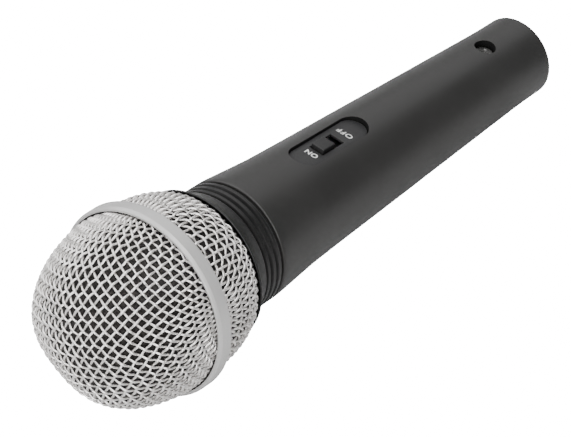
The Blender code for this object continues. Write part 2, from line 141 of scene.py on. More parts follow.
def smooth_curve(points, count):
    """count points on a smooth curve through (u, r) points (Catmull-Rom by length)."""
    p = np.array(points, float)
    t = np.concatenate([[0], np.cumsum(np.hypot(*np.diff(p, axis=0).T))])
    m = np.gradient(p, t, axis=0)
    q = np.linspace(0, t[-1], count)
    i = np.clip(np.searchsorted(t, q, side="right") - 1, 0, len(t) - 2)
    h = (t[i + 1] - t[i])[:, None]
    s = ((q - t[i])[:, None]) / h
    out = ((2 * s**3 - 3 * s**2 + 1) * p[i] + (s**3 - 2 * s**2 + s) * h * m[i]
           + (-2 * s**3 + 3 * s**2) * p[i + 1] + (s**3 - s**2) * h * m[i + 1])
    return [tuple(v) for v in out]


def rounded(points, radius, arc=4, closed=False):
    """The outline with its corners rounded. radius is one number or one a corner."""
    n = len(points)
    out = []
    for i in range(n):
        r = radius[i] if isinstance(radius, (list, tuple)) else radius
        if (not closed and i in (0, n - 1)) or r <= 0:
            out.append(points[i])
            continue
        p = np.array(points[i], float)
        a = np.array(points[i - 1], float) - p
        b = np.array(points[(i + 1) % n], float) - p
        la, lb = np.linalg.norm(a), np.linalg.norm(b)
        a, b = a / la, b / lb
        cosine = float(np.clip(a @ b, -1, 1))
        half = math.acos(cosine) / 2
        if half > math.radians(88):
            out.append(points[i])
            continue
        cut = min(r / math.tan(half), la * 0.49, lb * 0.49)
        p0, p1 = p + a * cut, p + b * cut
        for k in range(arc + 1):
            t = k / arc
            q = (1 - t) ** 2 * p0 + 2 * t * (1 - t) * p + t * t * p1
            out.append((float(q[0]), float(q[1])))
    return out


def lathe(name, profile, sides=160, closed=True, smooth=True, sharp=35, radius_of=None):
    """A turned mesh about the microphone's axis.

    The profile runs from ball to tail on its outer side, then back inside.
    radius_of(u, r, angle) may shift the radius, for threads.
    """
    ang = np.arange(sides) * 2 * math.pi / sides
    rows = []
    for u, r in profile:
        rr = np.full(sides, r) if radius_of is None else radius_of(u, r, ang)
        rows.append(np.stack([np.full(sides, u), rr * np.sin(ang), rr * np.cos(ang)], 1))
    verts = P(np.concatenate(rows))
    faces = []
    n = len(profile)
    last = n if closed else n - 1
    for i in range(last):
        a, b = i * sides, ((i + 1) % n) * sides
        for j in range(sides):
            k = (j + 1) % sides
            faces.append((a + j, b + j, b + k, a + k))
    obj = link(name, verts, faces, smooth, sharp)
    if not closed:
        bm = bmesh.new()
        bm.from_mesh(obj.data)
        bmesh.ops.remove_doubles(bm, verts=bm.verts, dist=1e-7)
        bmesh.ops.recalc_face_normals(bm, faces=bm.faces)
        bm.to_mesh(obj.data)
        bm.free()
    return obj


def set_boolean(obj, cutter, operation="DIFFERENCE"):
    mod = obj.modifiers.new("b", "BOOLEAN")
    mod.operation = operation
    mod.solver = "EXACT"
    mod.object = cutter
    bake(obj)
    bpy.data.objects.remove(cutter, do_unlink=True)


def bake(obj):
    """Applies all modifiers of obj to its mesh."""
    bpy.context.view_layer.update()
    graph = bpy.context.evaluated_depsgraph_get()
    mesh = bpy.data.meshes.new_from_object(obj.evaluated_get(graph))
    obj.modifiers.clear()
    old = obj.data
    obj.data = mesh
    mesh.name = obj.name
    bpy.data.meshes.remove(old)


def prism(name, outline, w0, w1, to_mic=None):
    """An outline of (u, v) points extruded from height w0 to w1."""
    n = len(outline)
    pts = [(u, v, w0) for u, v in outline] + [(u, v, w1) for u, v in outline]
    pts = np.array(pts, float)
    if to_mic is not None:
        pts = to_mic(pts)
    area = sum(a[0] * b[1] - b[0] * a[1] for a, b in zip(outline, outline[1:] + outline[:1]))
    order = list(range(n)) if area > 0 else list(range(n))[::-1]
    faces = [tuple(order[::-1]), tuple(n + k for k in order)]
    for a, b in zip(order, order[1:] + order[:1]):
        faces.append((a, b, n + b, n + a))
    return link(name, P(pts), faces, smooth=False)


def stadium(u0, u1, width, arc=32):
    h = width / 2
    pts = [(u1 - h + h * math.cos(a), h * math.sin(a))
           for a in (math.radians(-90 + 180 * i / arc) for i in range(arc + 1))]
    pts += [(u0 + h - h * math.cos(a), -h * math.sin(a))
            for a in (math.radians(-90 + 180 * i / arc) for i in range(arc + 1))]
    return pts


def bevel(obj, width, segments=3, angle=40, profile=0.5):
    mod = obj.modifiers.new("bevel", "BEVEL")
    mod.width = width * MM
    mod.segments = segments
    mod.limit_method = "ANGLE"
    mod.angle_limit = math.radians(angle)
    mod.profile = profile
    mod.harden_normals = False
    bake(obj)
    obj.data.shade_smooth()
    obj.data.set_sharp_from_angle(angle=math.radians(50))


def finish_piece(obj, body, slot, mat, *nodes):
    obj.data.materials.clear()
    obj.data.materials.append(mat)
    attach(obj, body)
    if nodes:
        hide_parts(*nodes)
    return obj


# ------------------------------------------------------------------ materials
def new_material(name, base, roughness, metallic=0.0, specular=0.5, coat=0.0,
                 coat_roughness=0.1, sheen=0.0):
    mat = bpy.data.materials.new(name)
    mat.use_nodes = True
    tree = mat.node_tree
    shader = tree.nodes["Principled BSDF"]
    shader.inputs["Base Color"].default_value = (*base, 1)
    shader.inputs["Roughness"].default_value = roughness
    shader.inputs["Metallic"].default_value = metallic
    shader.inputs["Specular IOR Level"].default_value = specular
    shader.inputs["Coat Weight"].default_value = coat
    shader.inputs["Coat Roughness"].default_value = coat_roughness
    shader.inputs["Sheen Weight"].default_value = sheen
    return mat, tree, shader


def noise(tree, scale, detail=4.0, rough=0.55, distortion=0.0, stretch=None):
    coord = tree.nodes.new("ShaderNodeTexCoord")
    node = tree.nodes.new("ShaderNodeTexNoise")
    node.inputs["Scale"].default_value = scale
    node.inputs["Detail"].default_value = detail
    node.inputs["Roughness"].default_value = rough
    node.inputs["Distortion"].default_value = distortion
    if stretch:
        mapping = tree.nodes.new("ShaderNodeMapping")
        mapping.inputs["Scale"].default_value = stretch
        tree.links.new(coord.outputs["Object"], mapping.inputs["Vector"])
        tree.links.new(mapping.outputs["Vector"], node.inputs["Vector"])
    else:
        tree.links.new(coord.outputs["Object"], node.inputs["Vector"])
    return node


def colour_ramp(tree, fac, stops):
    ramp = tree.nodes.new("ShaderNodeValToRGB")
    ramp.color_ramp.elements[0].position = stops[0][0]
    ramp.color_ramp.elements[0].color = (*stops[0][1], 1)
    ramp.color_ramp.elements[1].position = stops[-1][0]
    ramp.color_ramp.elements[1].color = (*stops[-1][1], 1)
    for pos, col in stops[1:-1]:
        e = ramp.color_ramp.elements.new(pos)
        e.color = (*col, 1)
    tree.links.new(fac, ramp.inputs["Fac"])
    return ramp


def value_range(tree, fac, low, high):
    node = tree.nodes.new("ShaderNodeMapRange")
    node.inputs["To Min"].default_value = low
    node.inputs["To Max"].default_value = high
    node.inputs["From Min"].default_value = 0.3
    node.inputs["From Max"].default_value = 0.7
    tree.links.new(fac, node.inputs["Value"])
    return node


def bump(tree, shader, height, strength, distance, chain=None):
    node = tree.nodes.new("ShaderNodeBump")
    node.inputs["Strength"].default_value = strength
    node.inputs["Distance"].default_value = distance
    tree.links.new(height, node.inputs["Height"])
    if chain is not None:
        tree.links.new(chain.outputs["Normal"], node.inputs["Normal"])
    tree.links.new(node.outputs["Normal"], shader.inputs["Normal"])
    return node


def speckled(name, base, roughness, vary=0.12, rough_vary=0.06, grain=1600.0,
             grain_bump=0.15, grain_depth=0.00004, patch=60.0, metallic=0.0,
             specular=0.5, coat=0.0, sheen=0.0, stretch=None):
    """A finish with fine grain, soft colour patches and uneven roughness."""
    mat, tree, shader = new_material(name, base, roughness, metallic, specular, coat,
                                     sheen=sheen)
    patches = noise(tree, patch, 3.0, 0.6)
    fine = noise(tree, grain, 2.0, 0.6, stretch=stretch)
    dark = tuple(c * (1 - vary) for c in base)
    light = tuple(min(1.0, c * (1 + vary)) for c in base)
    mix = tree.nodes.new("ShaderNodeMath")
    mix.operation = "MULTIPLY_ADD"
    mix.inputs[1].default_value = 0.35
    tree.links.new(fine.outputs["Fac"], mix.inputs[0])
    half = tree.nodes.new("ShaderNodeMath")
    half.operation = "MULTIPLY"
    half.inputs[1].default_value = 0.65
    tree.links.new(patches.outputs["Fac"], half.inputs[0])
    tree.links.new(half.outputs[0], mix.inputs[2])
    ramp = colour_ramp(tree, mix.outputs[0], [(0.36, dark), (0.5, base), (0.64, light)])
    tree.links.new(ramp.outputs["Color"], shader.inputs["Base Color"])
    rr = value_range(tree, patches.outputs["Fac"], roughness - rough_vary,
                     roughness + rough_vary)
    tree.links.new(rr.outputs["Result"], shader.inputs["Roughness"])
    bump(tree, shader, fine.outputs["Fac"], grain_bump, grain_depth)
    return mat


WIRE = speckled("wire_satin", (0.90, 0.878, 0.86), 0.27, vary=0.10, grain=2500,
                grain_bump=0.2, grain_depth=0.00003, patch=180, metallic=0.88)
BAND = speckled("band_satin", (0.50, 0.495, 0.49), 0.40, vary=0.04, grain=3500,
                grain_bump=0.12, grain_depth=0.00002, patch=90, metallic=0.35)
HANDLE = speckled("handle_coat", (0.0135, 0.0132, 0.0127), 0.43, vary=0.14, grain=3200,
                  grain_bump=0.22, grain_depth=0.00003, patch=45, specular=0.5)
COLLAR = speckled("collar_coat", (0.005, 0.005, 0.005), 0.38, vary=0.15, grain=2600,
                  grain_bump=0.12, grain_depth=0.00002, patch=120, specular=0.42)
PLATE = speckled("plate_plastic", (0.014, 0.014, 0.0147), 0.6, vary=0.12, grain=2800,
                 grain_bump=0.25, grain_depth=0.00003, patch=200)
KNOB = speckled("knob_plastic", (0.005, 0.005, 0.0052), 0.52, vary=0.15, grain=2600,
                grain_bump=0.2, grain_depth=0.00003, patch=300)
PLASTIC = speckled("black_plastic", (0.022, 0.022, 0.022), 0.5, vary=0.2, grain=2200,
                   patch=150)
RUBBER = speckled("black_rubber", (0.014, 0.014, 0.014), 0.75, vary=0.25, grain=1400,
                  grain_bump=0.4, patch=120, specular=0.3)
STEEL = speckled("zinc_steel", (0.55, 0.55, 0.53), 0.34, vary=0.12, grain=900,
                 patch=160, metallic=1.0, stretch=(1, 8, 8))
SCREW = speckled("blackened_screw", (0.21, 0.21, 0.205), 0.38, vary=0.25, grain=1500,
                 patch=300, metallic=0.8)
BRASS = speckled("brass", (0.70, 0.50, 0.22), 0.3, vary=0.12, grain=1200, patch=200,
                 metallic=1.0)
SILVER = speckled("silvered_pin", (0.78, 0.76, 0.72), 0.22, vary=0.08, grain=1500,
                  patch=250, metallic=1.0)
MAGNET = speckled("magnet_nickel", (0.35, 0.34, 0.33), 0.35, vary=0.15, patch=200,
                  metallic=0.9)
FILM = speckled("diaphragm_film", (0.62, 0.58, 0.45), 0.3, vary=0.08, patch=250)
COPPER = speckled("coil_copper", (0.62, 0.27, 0.13), 0.35, vary=0.2, grain=4000,
                  grain_bump=0.6, patch=400, metallic=0.9)
FELT = speckled("grey_felt", (0.20, 0.20, 0.20), 0.95, vary=0.3, grain=1800,
                grain_bump=0.8, patch=300, specular=0.1, sheen=0.3)
BOARD = speckled("phenolic_board", (0.26, 0.13, 0.055), 0.55, vary=0.2, grain=900,
                 patch=250, stretch=(1, 12, 1))
RED = speckled("red_insulation", (0.42, 0.03, 0.02), 0.45, vary=0.1, patch=300)
WHITE = speckled("white_insulation", (0.70, 0.69, 0.64), 0.5, vary=0.08, patch=300)
INK = speckled("white_ink", (0.78, 0.78, 0.77), 0.6, vary=0.08, grain=4000,
               grain_bump=0.2, patch=500, specular=0.3)


def foam_material():
    mat, tree, shader = new_material("open_cell_foam", (0.010, 0.0095, 0.0095), 0.95,
                                     specular=0.12, sheen=0.12)
    coord = tree.nodes.new("ShaderNodeTexCoord")
    cells = tree.nodes.new("ShaderNodeTexVoronoi")
    cells.feature = "F1"
    cells.inputs["Scale"].default_value = 1500
    tree.links.new(coord.outputs["Object"], cells.inputs["Vector"])
    ramp = colour_ramp(tree, cells.outputs["Distance"],
                       [(0.05, (0.007, 0.0065, 0.0065)), (0.35, (0.016, 0.0145, 0.0145)),
                        (0.7, (0.034, 0.031, 0.030))])
    tree.links.new(ramp.outputs["Color"], shader.inputs["Base Color"])
    bump(tree, shader, cells.outputs["Distance"], 0.9, 0.0004)
    return mat


FOAM = foam_material()

# ------------------------------------------------------------------ the woven ball
WIRE_D = 0.66
DOME_C, DOME_R = -2.16, 25.1
BOWL_C, BOWL_R = 8.9, 24.45


def fishnet(step_a, step_b, az_a, az_b, reach, shift=(0.0, 0.0)):
    """A woven sheet formed over a unit sphere: wires keep their spacing and shear.

    step_a, step_b: wire spacings as angles; az_a, az_b: directions of the two
    middle wires at the pole; reach: polar angle to cover. Returns node
    directions indexed [i, j] and the index of the middle.
    """
    n = int(reach / min(step_a, step_b) * 1.45) + 4
    grid = np.full((2 * n + 1, 2 * n + 1, 3), np.nan)

    def at(theta, az):
        return np.array([math.cos(theta), math.sin(theta) * math.sin(az),
                         math.sin(theta) * math.cos(az)])

    for k in range(-n, n + 1):
        ta, tb = k * step_a, k * step_b
        if abs(ta) < reach + 2 * step_a:
            grid[n + k, n] = at(ta, az_a)
        if abs(tb) < reach + 2 * step_b:
            grid[n, n + k] = at(tb, az_b)
    ca, cb = math.cos(step_a), math.cos(step_b)
    floor_x = math.cos(min(math.pi, reach + 2.2 * max(step_a, step_b)))
    for si in (1, -1):
        for sj in (1, -1):
            for i in range(1, n + 1):
                for j in range(1, n + 1):
                    p = grid[n + si * (i - 1), n + sj * j]
                    q = grid[n + si * i, n + sj * (j - 1)]
                    s = grid[n + si * (i - 1), n + sj * (j - 1)]
                    if np.isnan(p[0]) or np.isnan(q[0]) or np.isnan(s[0]):
                        break
                    g = float(p @ q)
                    if g > 0.999999:
                        break
                    al = (ca - g * cb) / (1 - g * g)
                    be = (cb - g * ca) / (1 - g * g)
                    rest = 1 - (al * al + be * be + 2 * al * be * g)
                    if rest < 0:
                        break
                    c = np.cross(p, q)
                    ga = math.sqrt(rest / float(c @ c))
                    x1 = al * p + be * q + ga * c
                    x2 = al * p + be * q - ga * c
                    x = x1 if float(x1 @ s) < float(x2 @ s) else x2
                    if x[0] < floor_x:
                        break
                    grid[n + si * i, n + sj * j] = x
    if shift != (0.0, 0.0):      # slide the whole sheet off the pole
        ax = np.array([0.0, math.sin(az_a), math.cos(az_a)]) * shift[0] + np.array(
            [0.0, math.sin(az_b), math.cos(az_b)]) * shift[1]
        length = float(np.linalg.norm(ax))
        if length > 1e-9:
            # turn about the axis square to the shift
            k = np.cross(np.array([1.0, 0, 0]), ax / length)
            th = length
            kx = np.array([[0, -k[2], k[1]], [k[2], 0, -k[0]], [-k[1], k[0], 0]])
            rot = np.eye(3) + math.sin(th) * kx + (1 - math.cos(th)) * kx @ kx
            grid = grid @ rot.T
    return grid, n


def tube_mesh(name, paths, radius, sides=8):
    """One mesh of round wires along paths of (n, 3) world points."""
    ang = np.arange(sides) * 2 * math.pi / sides
    all_v, all_f, base = [], [], 0
    for pts, ups in paths:
        n = len(pts)
        tan = np.gradient(pts, axis=0)
        tan /= np.linalg.norm(tan, axis=1)[:, None]
        side = np.cross(tan, ups)
        side /= np.linalg.norm(side, axis=1)[:, None]
        nrm = np.cross(side, tan)
        ring = (pts[:, None, :] + radius * (np.cos(ang)[None, :, None] * side[:, None, :]
                + np.sin(ang)[None, :, None] * nrm[:, None, :]))
        all_v.append(ring.reshape(-1, 3))
        a = (base + np.arange(n - 1)[:, None] * sides + np.arange(sides)[None, :]).ravel()
        b = (base + np.arange(n - 1)[:, None] * sides
             + ((np.arange(sides) + 1) % sides)[None, :]).ravel()
        all_f.extend(np.stack([a, a + sides, b + sides, b], 1).tolist())
        all_f.append([base + k for k in range(sides)])
        all_f.append([base + (n - 1) * sides + k for k in range(sides - 1, -1, -1)])
        base += n * sides
    return link(name, np.concatenate(all_v), all_f, sharp=60)


def weave(name, centre_u, towards, step_mm, mean_r, az, reach, keep, radius_at,
          shift=(0.0, 0.0), stretch=(0.0, 0.0), per_cell=6, flip=0):
    """The wires of a woven sheet formed over the ball.

    towards: -1 with the pole at the ball's tip, +1 with it at the tail side.
    keep(u) says which part of a wire is there. radius_at(polar, azimuth) gives the
    radius of the sheet's outside. shift moves the crossings, in steps of the wires;
    stretch draws the sheet along the ball between and along the wire directions.
    """
    bias = math.radians((az[0] + az[1]) / 2)
    steps = (step_mm[0] / mean_r, step_mm[1] / mean_r)
    grid, n = fishnet(steps[0], steps[1], math.radians(az[0]), math.radians(az[1]),
                      reach, (shift[0] * steps[0], shift[1] * steps[1]))
    paths = []
    amp = WIRE_D * 0.5
    for family in (0, 1):
        for line in range(2 * n + 1):
            run = grid[:, line] if family == 0 else grid[line, :]
            good = ~np.isnan(run[:, 0])
            if good.sum() < 3:
                continue
            idx = np.nonzero(good)[0]
            idx = np.arange(idx[0], idx[-1] + 1)
            if not good[idx].all():
                continue
            pts = run[idx]
            t = np.arange(len(pts), dtype=float)
            q = np.linspace(0, len(pts) - 1, (len(pts) - 1) * per_cell + 1)
            m = np.gradient(pts, axis=0)
            i = np.clip(q.astype(int), 0, len(pts) - 2)
            s = (q - i)[:, None]
            d = ((2 * s**3 - 3 * s**2 + 1) * pts[i] + (s**3 - 2 * s**2 + s) * m[i]
                 + (-2 * s**3 + 3 * s**2) * pts[i + 1] + (s**3 - s**2) * m[i + 1])
            d /= np.linalg.norm(d, axis=1)[:, None]
            sign = 1 if (line + family + flip) % 2 == 0 else -1
            phase = np.cos(math.pi * (q + idx[0]))
            wave = np.sign(phase) * np.abs(phase) ** 0.85
            polar = np.arccos(np.clip(d[:, 0], -1, 1))
            round_ = np.arctan2(d[:, 1], d[:, 2])
            polar = (polar + np.sin(polar) ** 2 * stretch[0] * np.cos(4 * (round_ - bias))
                     + stretch[1] * np.sin(polar) * (1 - np.cos(polar)))
            d = np.stack([np.cos(polar), np.sin(polar) * np.sin(round_),
                          np.sin(polar) * np.cos(round_)], 1)
            r = radius_at(polar, round_) - WIRE_D + sign * amp * wave
            u = centre_u + towards * d[:, 0] * r
            ok = keep(u)
            # split into runs that are kept
            edges = np.nonzero(np.diff(np.concatenate([[0], ok.astype(int), [0]])))[0]
            for a, b in zip(edges[::2], edges[1::2]):
                if b - a < 4:
                    continue
                sel = slice(a, b)
                mic = np.stack([u[sel], d[sel, 1] * r[sel], d[sel, 2] * r[sel]], 1)
                upv = np.stack([towards * d[sel, 0], d[sel, 1], d[sel, 2]], 1)
                paths.append((P(mic), upv @ ROT_NP.T))
    return tube_mesh(name, paths, WIRE_D / 2 * MM)


# azimuths are measured from the switch side towards +v
def dome_radius(th, round_):
    """The pressed dome stands out a little where the wires run cornerwise."""
    deg = np.degrees(th)
    lobes = np.interp(deg, [0, 20, 45, 75, 98, 120], [0, 0.35, 1, 0.9, 0, 0])
    belly = np.interp(deg, [0, 25, 50, 78, 98, 120], [0, 0.3, 1, -1, 0, 0])
    return (DOME_R - 0.02 + 0.45 * lobes * np.cos(4 * (round_ - math.radians(LOBE_AZ)))
            + 0.15 * belly)


LOBE_AZ = 20.0
front = weave("front_wire_weave", DOME_C, -1, (2.1325, 2.0956), DOME_R - WIRE_D,
              (66.6, -17.5), math.radians(99), lambda u: u < 1.6, dome_radius,
              shift=(-0.077, -0.134), stretch=(-0.034, 0.0255))
finish_piece(front, "grille", "wire_mesh", WIRE, "grille_front_mesh")


def bowl_radius(th, round_):
    """Distance of the bowl's outside from its centre at a polar angle from the tail."""
    deg = np.degrees(th)
    return np.interp(deg, [50, 53.8, 56.9, 60.0, 64.5, 180],
                     [23.8, 23.9, 23.99, 24.19, BOWL_R, BOWL_R])


rear = weave("rear_wire_weave", BOWL_C, 1, (2.181, 2.152), BOWL_R - WIRE_D,
             (-23.1, 63.24), math.radians(108), lambda u: (u > 2.4) & (u < 22.9),
             bowl_radius, shift=(-0.049, -0.308), stretch=(0.0, 0.0057))
finish_piece(rear, "grille", "wire_mesh", WIRE, "grille_rear_mesh")

# ------------------------------------------------------------------ band
band_profile = rounded(
    [(0.0, 25.2), (0.02, 25.75), (0.9, 26.27), (4.05, 26.27), (4.58, 25.9),
     (4.58, 24.55), (4.1, 24.55), (4.0, 25.5), (0.6, 25.5), (0.35, 25.2)],
    [0.12, 0.35, 0.6, 0.5, 0.25, 0.2, 0.2, 0.1, 0.1, 0.1], arc=5, closed=True)
band = lathe("band", band_profile, 256)
finish_piece(band, "grille", "band_finish", BAND, "grille_band")

# ------------------------------------------------------------------ foam liner
def foam_shell(name, outer, inner, node):
    obj = lathe(name, outer + inner[::-1], 120, closed=True, sharp=60)
    finish_piece(obj, "grille", "foam", FOAM, node)
    return obj


def arc_points(centre, radius, u0, u1, count):
    a0 = math.acos(max(-1, min(1, (u0 - centre) / radius)))
    a1 = math.acos(max(-1, min(1, (u1 - centre) / radius)))
    return [(centre + radius * math.cos(a0 + (a1 - a0) * i / count),
             max(0.02, radius * math.sin(a0 + (a1 - a0) * i / count)))
            for i in range(count + 1)]


foam_r = DOME_R - 2 * WIRE_D - 0.12
foam_shell("foam_cup_liner",
           arc_points(DOME_C, foam_r, DOME_C - foam_r, 0.85, 40)
           + [(0.9, 24.3), (0.95, 25.35), (1.6, 25.38), (1.7, 24.3)],
           arc_points(DOME_C, foam_r - 2.6, DOME_C - foam_r + 2.6, 1.0, 30), "foam_cup")
bowl_line = [(1.8, 23.4), (4.0, 23.95), (8.9, 24.45), (13.0, 24.1), (17.0, 23.07),
             (19.4, 22.06), (20.6, 21.25), (21.6, 20.9), (22.6, 20.75)]
foam_shell("foam_ring_liner",
           smooth_curve([(u, r - 2 * WIRE_D - 0.35) for u, r in bowl_line], 30),
           smooth_curve([(u, r - 2 * WIRE_D - 3.0) for u, r in bowl_line], 20),
           "foam_ring")

# ------------------------------------------------------------------ collar
GROOVES = (28.6, 30.65, 32.8)
flare = smooth_curve([(22.35, 21.03), (23.4, 20.3), (24.8, 19.35), (26.2, 18.55),
                      (27.6, 17.85), (28.2, 17.6)], 24)
profile = [(21.95, 20.66), (21.95, 20.86), (22.1, 21.0)] + flare
for g in GROOVES:
    for k in range(13):           # rounded shoulders and a round-bottomed groove
        t = -1 + 2 * k / 12
        depth = 0.85 * (0.5 + 0.5 * math.cos(math.pi * t)) ** 0.6
        profile.append((g + 0.58 * t, 17.5 - depth))
profile += [(34.15, 17.5), (34.38, 17.42), (34.5, 17.2), (34.5, 15.98), (24.1, 15.98),
            (23.5, 17.2), (23.4, 19.7)]
collar = lathe("ribbed_collar", profile, 256, sharp=50)
finish_piece(collar, "grille", "black_metal", COLLAR, "grille_collar")

seal = lathe("seal_ring", rounded([(34.8, 16.0), (34.8, 16.93), (35.2, 16.93),
                                   (35.2, 16.0)], 0.12, closed=True), 160)
finish_piece(seal, "collar_seal", "rubber", RUBBER, "collar_seal_ring")


# ------------------------------------------------------------------ neck with its thread
def thread(u, r, ang):
    if r < 15.0:
        return np.full_like(ang, r)
    turn = ((u / 1.0) - ang / (2 * math.pi)) % 1.0
    ridge = 1 - np.abs(turn * 2 - 1)
    fade = min(1.0, max(0.0, (u - 24.7) / 1.0)) * min(1.0, max(0.0, (34.0 - u) / 1.0))
    return r - 0.55 * fade * (1 - np.clip(ridge * 1.5 - 0.25, 0, 1))


neck = [(24.3, 15.1), (24.7, 15.55)] + [(24.7 + 0.1 * k, 15.58) for k in range(1, 104)]
neck += [(42.0, 15.58), (42.0, 14.42), (24.3, 14.42)]
neck = lathe("threaded_neck_bush", neck, 96, radius_of=thread, sharp=60)
finish_piece(neck, "handle", "black_metal", COLLAR, "threaded_neck")

# ------------------------------------------------------------------ handle
OUTER = [(35.9, 17.48), (37.5, 17.45), (40.0, 17.25), (43.0, 16.98), (46.0, 16.7),
         (50.0, 16.34), (54.0, 16.0), (58.0, 15.78), (62.0, 15.58), (68.0, 15.3),
         (75.0, 14.99), (83.0, 14.65), (90.0, 14.34), (98.0, 13.98), (106.0, 13.6),
         (113.0, 13.3), (120.0, 12.98), (127.0, 12.68), (133.0, 12.4), (139.0, 12.15),
         (146.0, 11.84), (152.0, 11.66), (158.0, 11.6)]


def handle_radius(u):
    pts = np.array(OUTER)
    return np.interp(u, pts[:, 0], pts[:, 1])


body_line = smooth_curve(OUTER, 130)
profile = [(35.5, 15.93), (35.5, 17.1), (35.6, 17.32), (35.72, 17.42)] + body_line
profile += [(158.25, 11.56), (158.42, 11.42), (158.5, 11.2), (158.5, 8.75),
            (158.42, 8.5), (158.2, 8.32), (157.9, 8.25), (150.0, 8.22), (144.0, 8.22),
            (132.6, 8.22), (130.4, 10.45), (86.0, 12.55), (60.0, 13.75), (42.4, 14.2),
            (42.4, 15.93)]
shell = lathe("handle_tube", profile, 288, sharp=40)
SLOT = (57.4, 86.1, 8.7)
cut = prism("slot_cut", stadium(SLOT[0] - PLATE_C[0], SLOT[1] - PLATE_C[0], SLOT[2], 40),
            -3.0, 9.0, plate_to_mic)
set_boolean(shell, cut)
# painted shade: a matt near-black material for the recess walls, standing in for the shade that falls in them
SHADE_WALL_PAINT = speckled("slot_wall_painted_shade", (0.004, 0.004, 0.004), 0.75, vary=0.2, grain=2600,
               patch=200, specular=0.2)
SCREW_U = 140.5
circle = [(SCREW_U + 3.0 * math.cos(a), 3.0 * math.sin(a))
          for a in (2 * math.pi * k / 64 for k in range(64))]
set_boolean(shell, prism("well_cut", circle, 8.9, 16.0))
circle = [(SCREW_U + 1.6 * math.cos(a), 1.6 * math.sin(a))
          for a in (2 * math.pi * k / 32 for k in range(32))]
set_boolean(shell, prism("hole_cut", circle, 7.0, 10.0))
shell.data.shade_smooth()
shell.data.set_sharp_from_angle(angle=math.radians(40))
finish_piece(shell, "handle", "handle_metal", HANDLE, "handle_shell")
# painted shade: the walls of the slot and of the screw well get a matt near-black material that stands in for the
# shade inside these recesses
shell.data.materials.append(SHADE_WALL_PAINT)
back = np.linalg.inv(ROT_NP)
for face in shell.data.polygons:
    c = back @ (np.array(shell.matrix_world @ face.center) - np.array(ORIGIN)) / MM
    n = back @ np.array(face.normal)
    out = abs(n[1] * c[1] + n[2] * c[2]) / max(1e-6, math.hypot(c[1], c[2]))
    r = math.hypot(c[1], c[2])
    if c[2] > 8.0 and out < 0.9 and abs(c[1]) < 5.0 and r < handle_radius(c[0]) - 0.02:
        if SLOT[0] - 0.5 < c[0] < SLOT[1] + 0.5 or abs(c[0] - SCREW_U) < 3.3:
            face.material_index = len(shell.data.materials) - 1

# ------------------------------------------------------------------ switch
plate = prism("switch_plate_cover", stadium(-14.0, 14.0, 8.1, 40), -0.8, 0.0,
              plate_to_mic)
window = prism("window_cut", [(-5.05, -2.3), (3.85, -2.3), (3.85, 2.3), (-5.05, 2.3)],
               -3.0, 2.0, plate_to_mic)
set_boolean(plate, window)
bevel(plate, 0.08, 2, 60)
finish_piece(plate, "handle", "plate_plastic", PLATE, "switch_plate")

knob_box = [(-4.75, -2.0), (0.15, -2.0), (0.15, 2.0), (-4.75, 2.0)]
knob = prism("slider_button", knob_box, -4.5, 1.25, plate_to_mic)
bevel(knob, 0.22, 3, 60)
finish_piece(knob, "switch_slider", "black_plastic", KNOB, "switch_knob")


def lettering(name, text, u, v, size, wide, stroke):
    curve = bpy.data.curves.new(name, "FONT")
    curve.body = text
    curve.size = size * MM
    curve.align_x = "CENTER"
    curve.align_y = "CENTER"
    curve.extrude = 0.012 * MM
    curve.offset = stroke * MM
    curve.space_character = 1.08
    obj = bpy.data.objects.new(name + "_text", curve)
    bpy.context.scene.collection.objects.link(obj)
    bpy.context.view_layer.update()
    mesh = bpy.data.meshes.new_from_object(
        obj.evaluated_get(bpy.context.evaluated_depsgraph_get()))
    bpy.data.objects.remove(obj, do_unlink=True)
    co = np.array([v.co for v in mesh.vertices]) / MM
    co[:, 0] *= wide
    lay = np.stack([u - co[:, 1] - PLATE_C[0], v + co[:, 0], co[:, 2] + 0.02], 1)
    world = P(plate_to_mic(lay))
    for vert, w in zip(mesh.vertices, world):
        vert.co = w
    out = bpy.data.objects.new(name, mesh)
    bpy.context.scene.collection.objects.link(out)
    finish_piece(out, "handle", "plate_plastic", INK)


lettering("letters_on", "ON", 64.8, 0.0, 2.25, 1.07, 0.035)
lettering("letters_off", "OFF", 78.8, 0.0, 2.25, 1.22, 0.008)

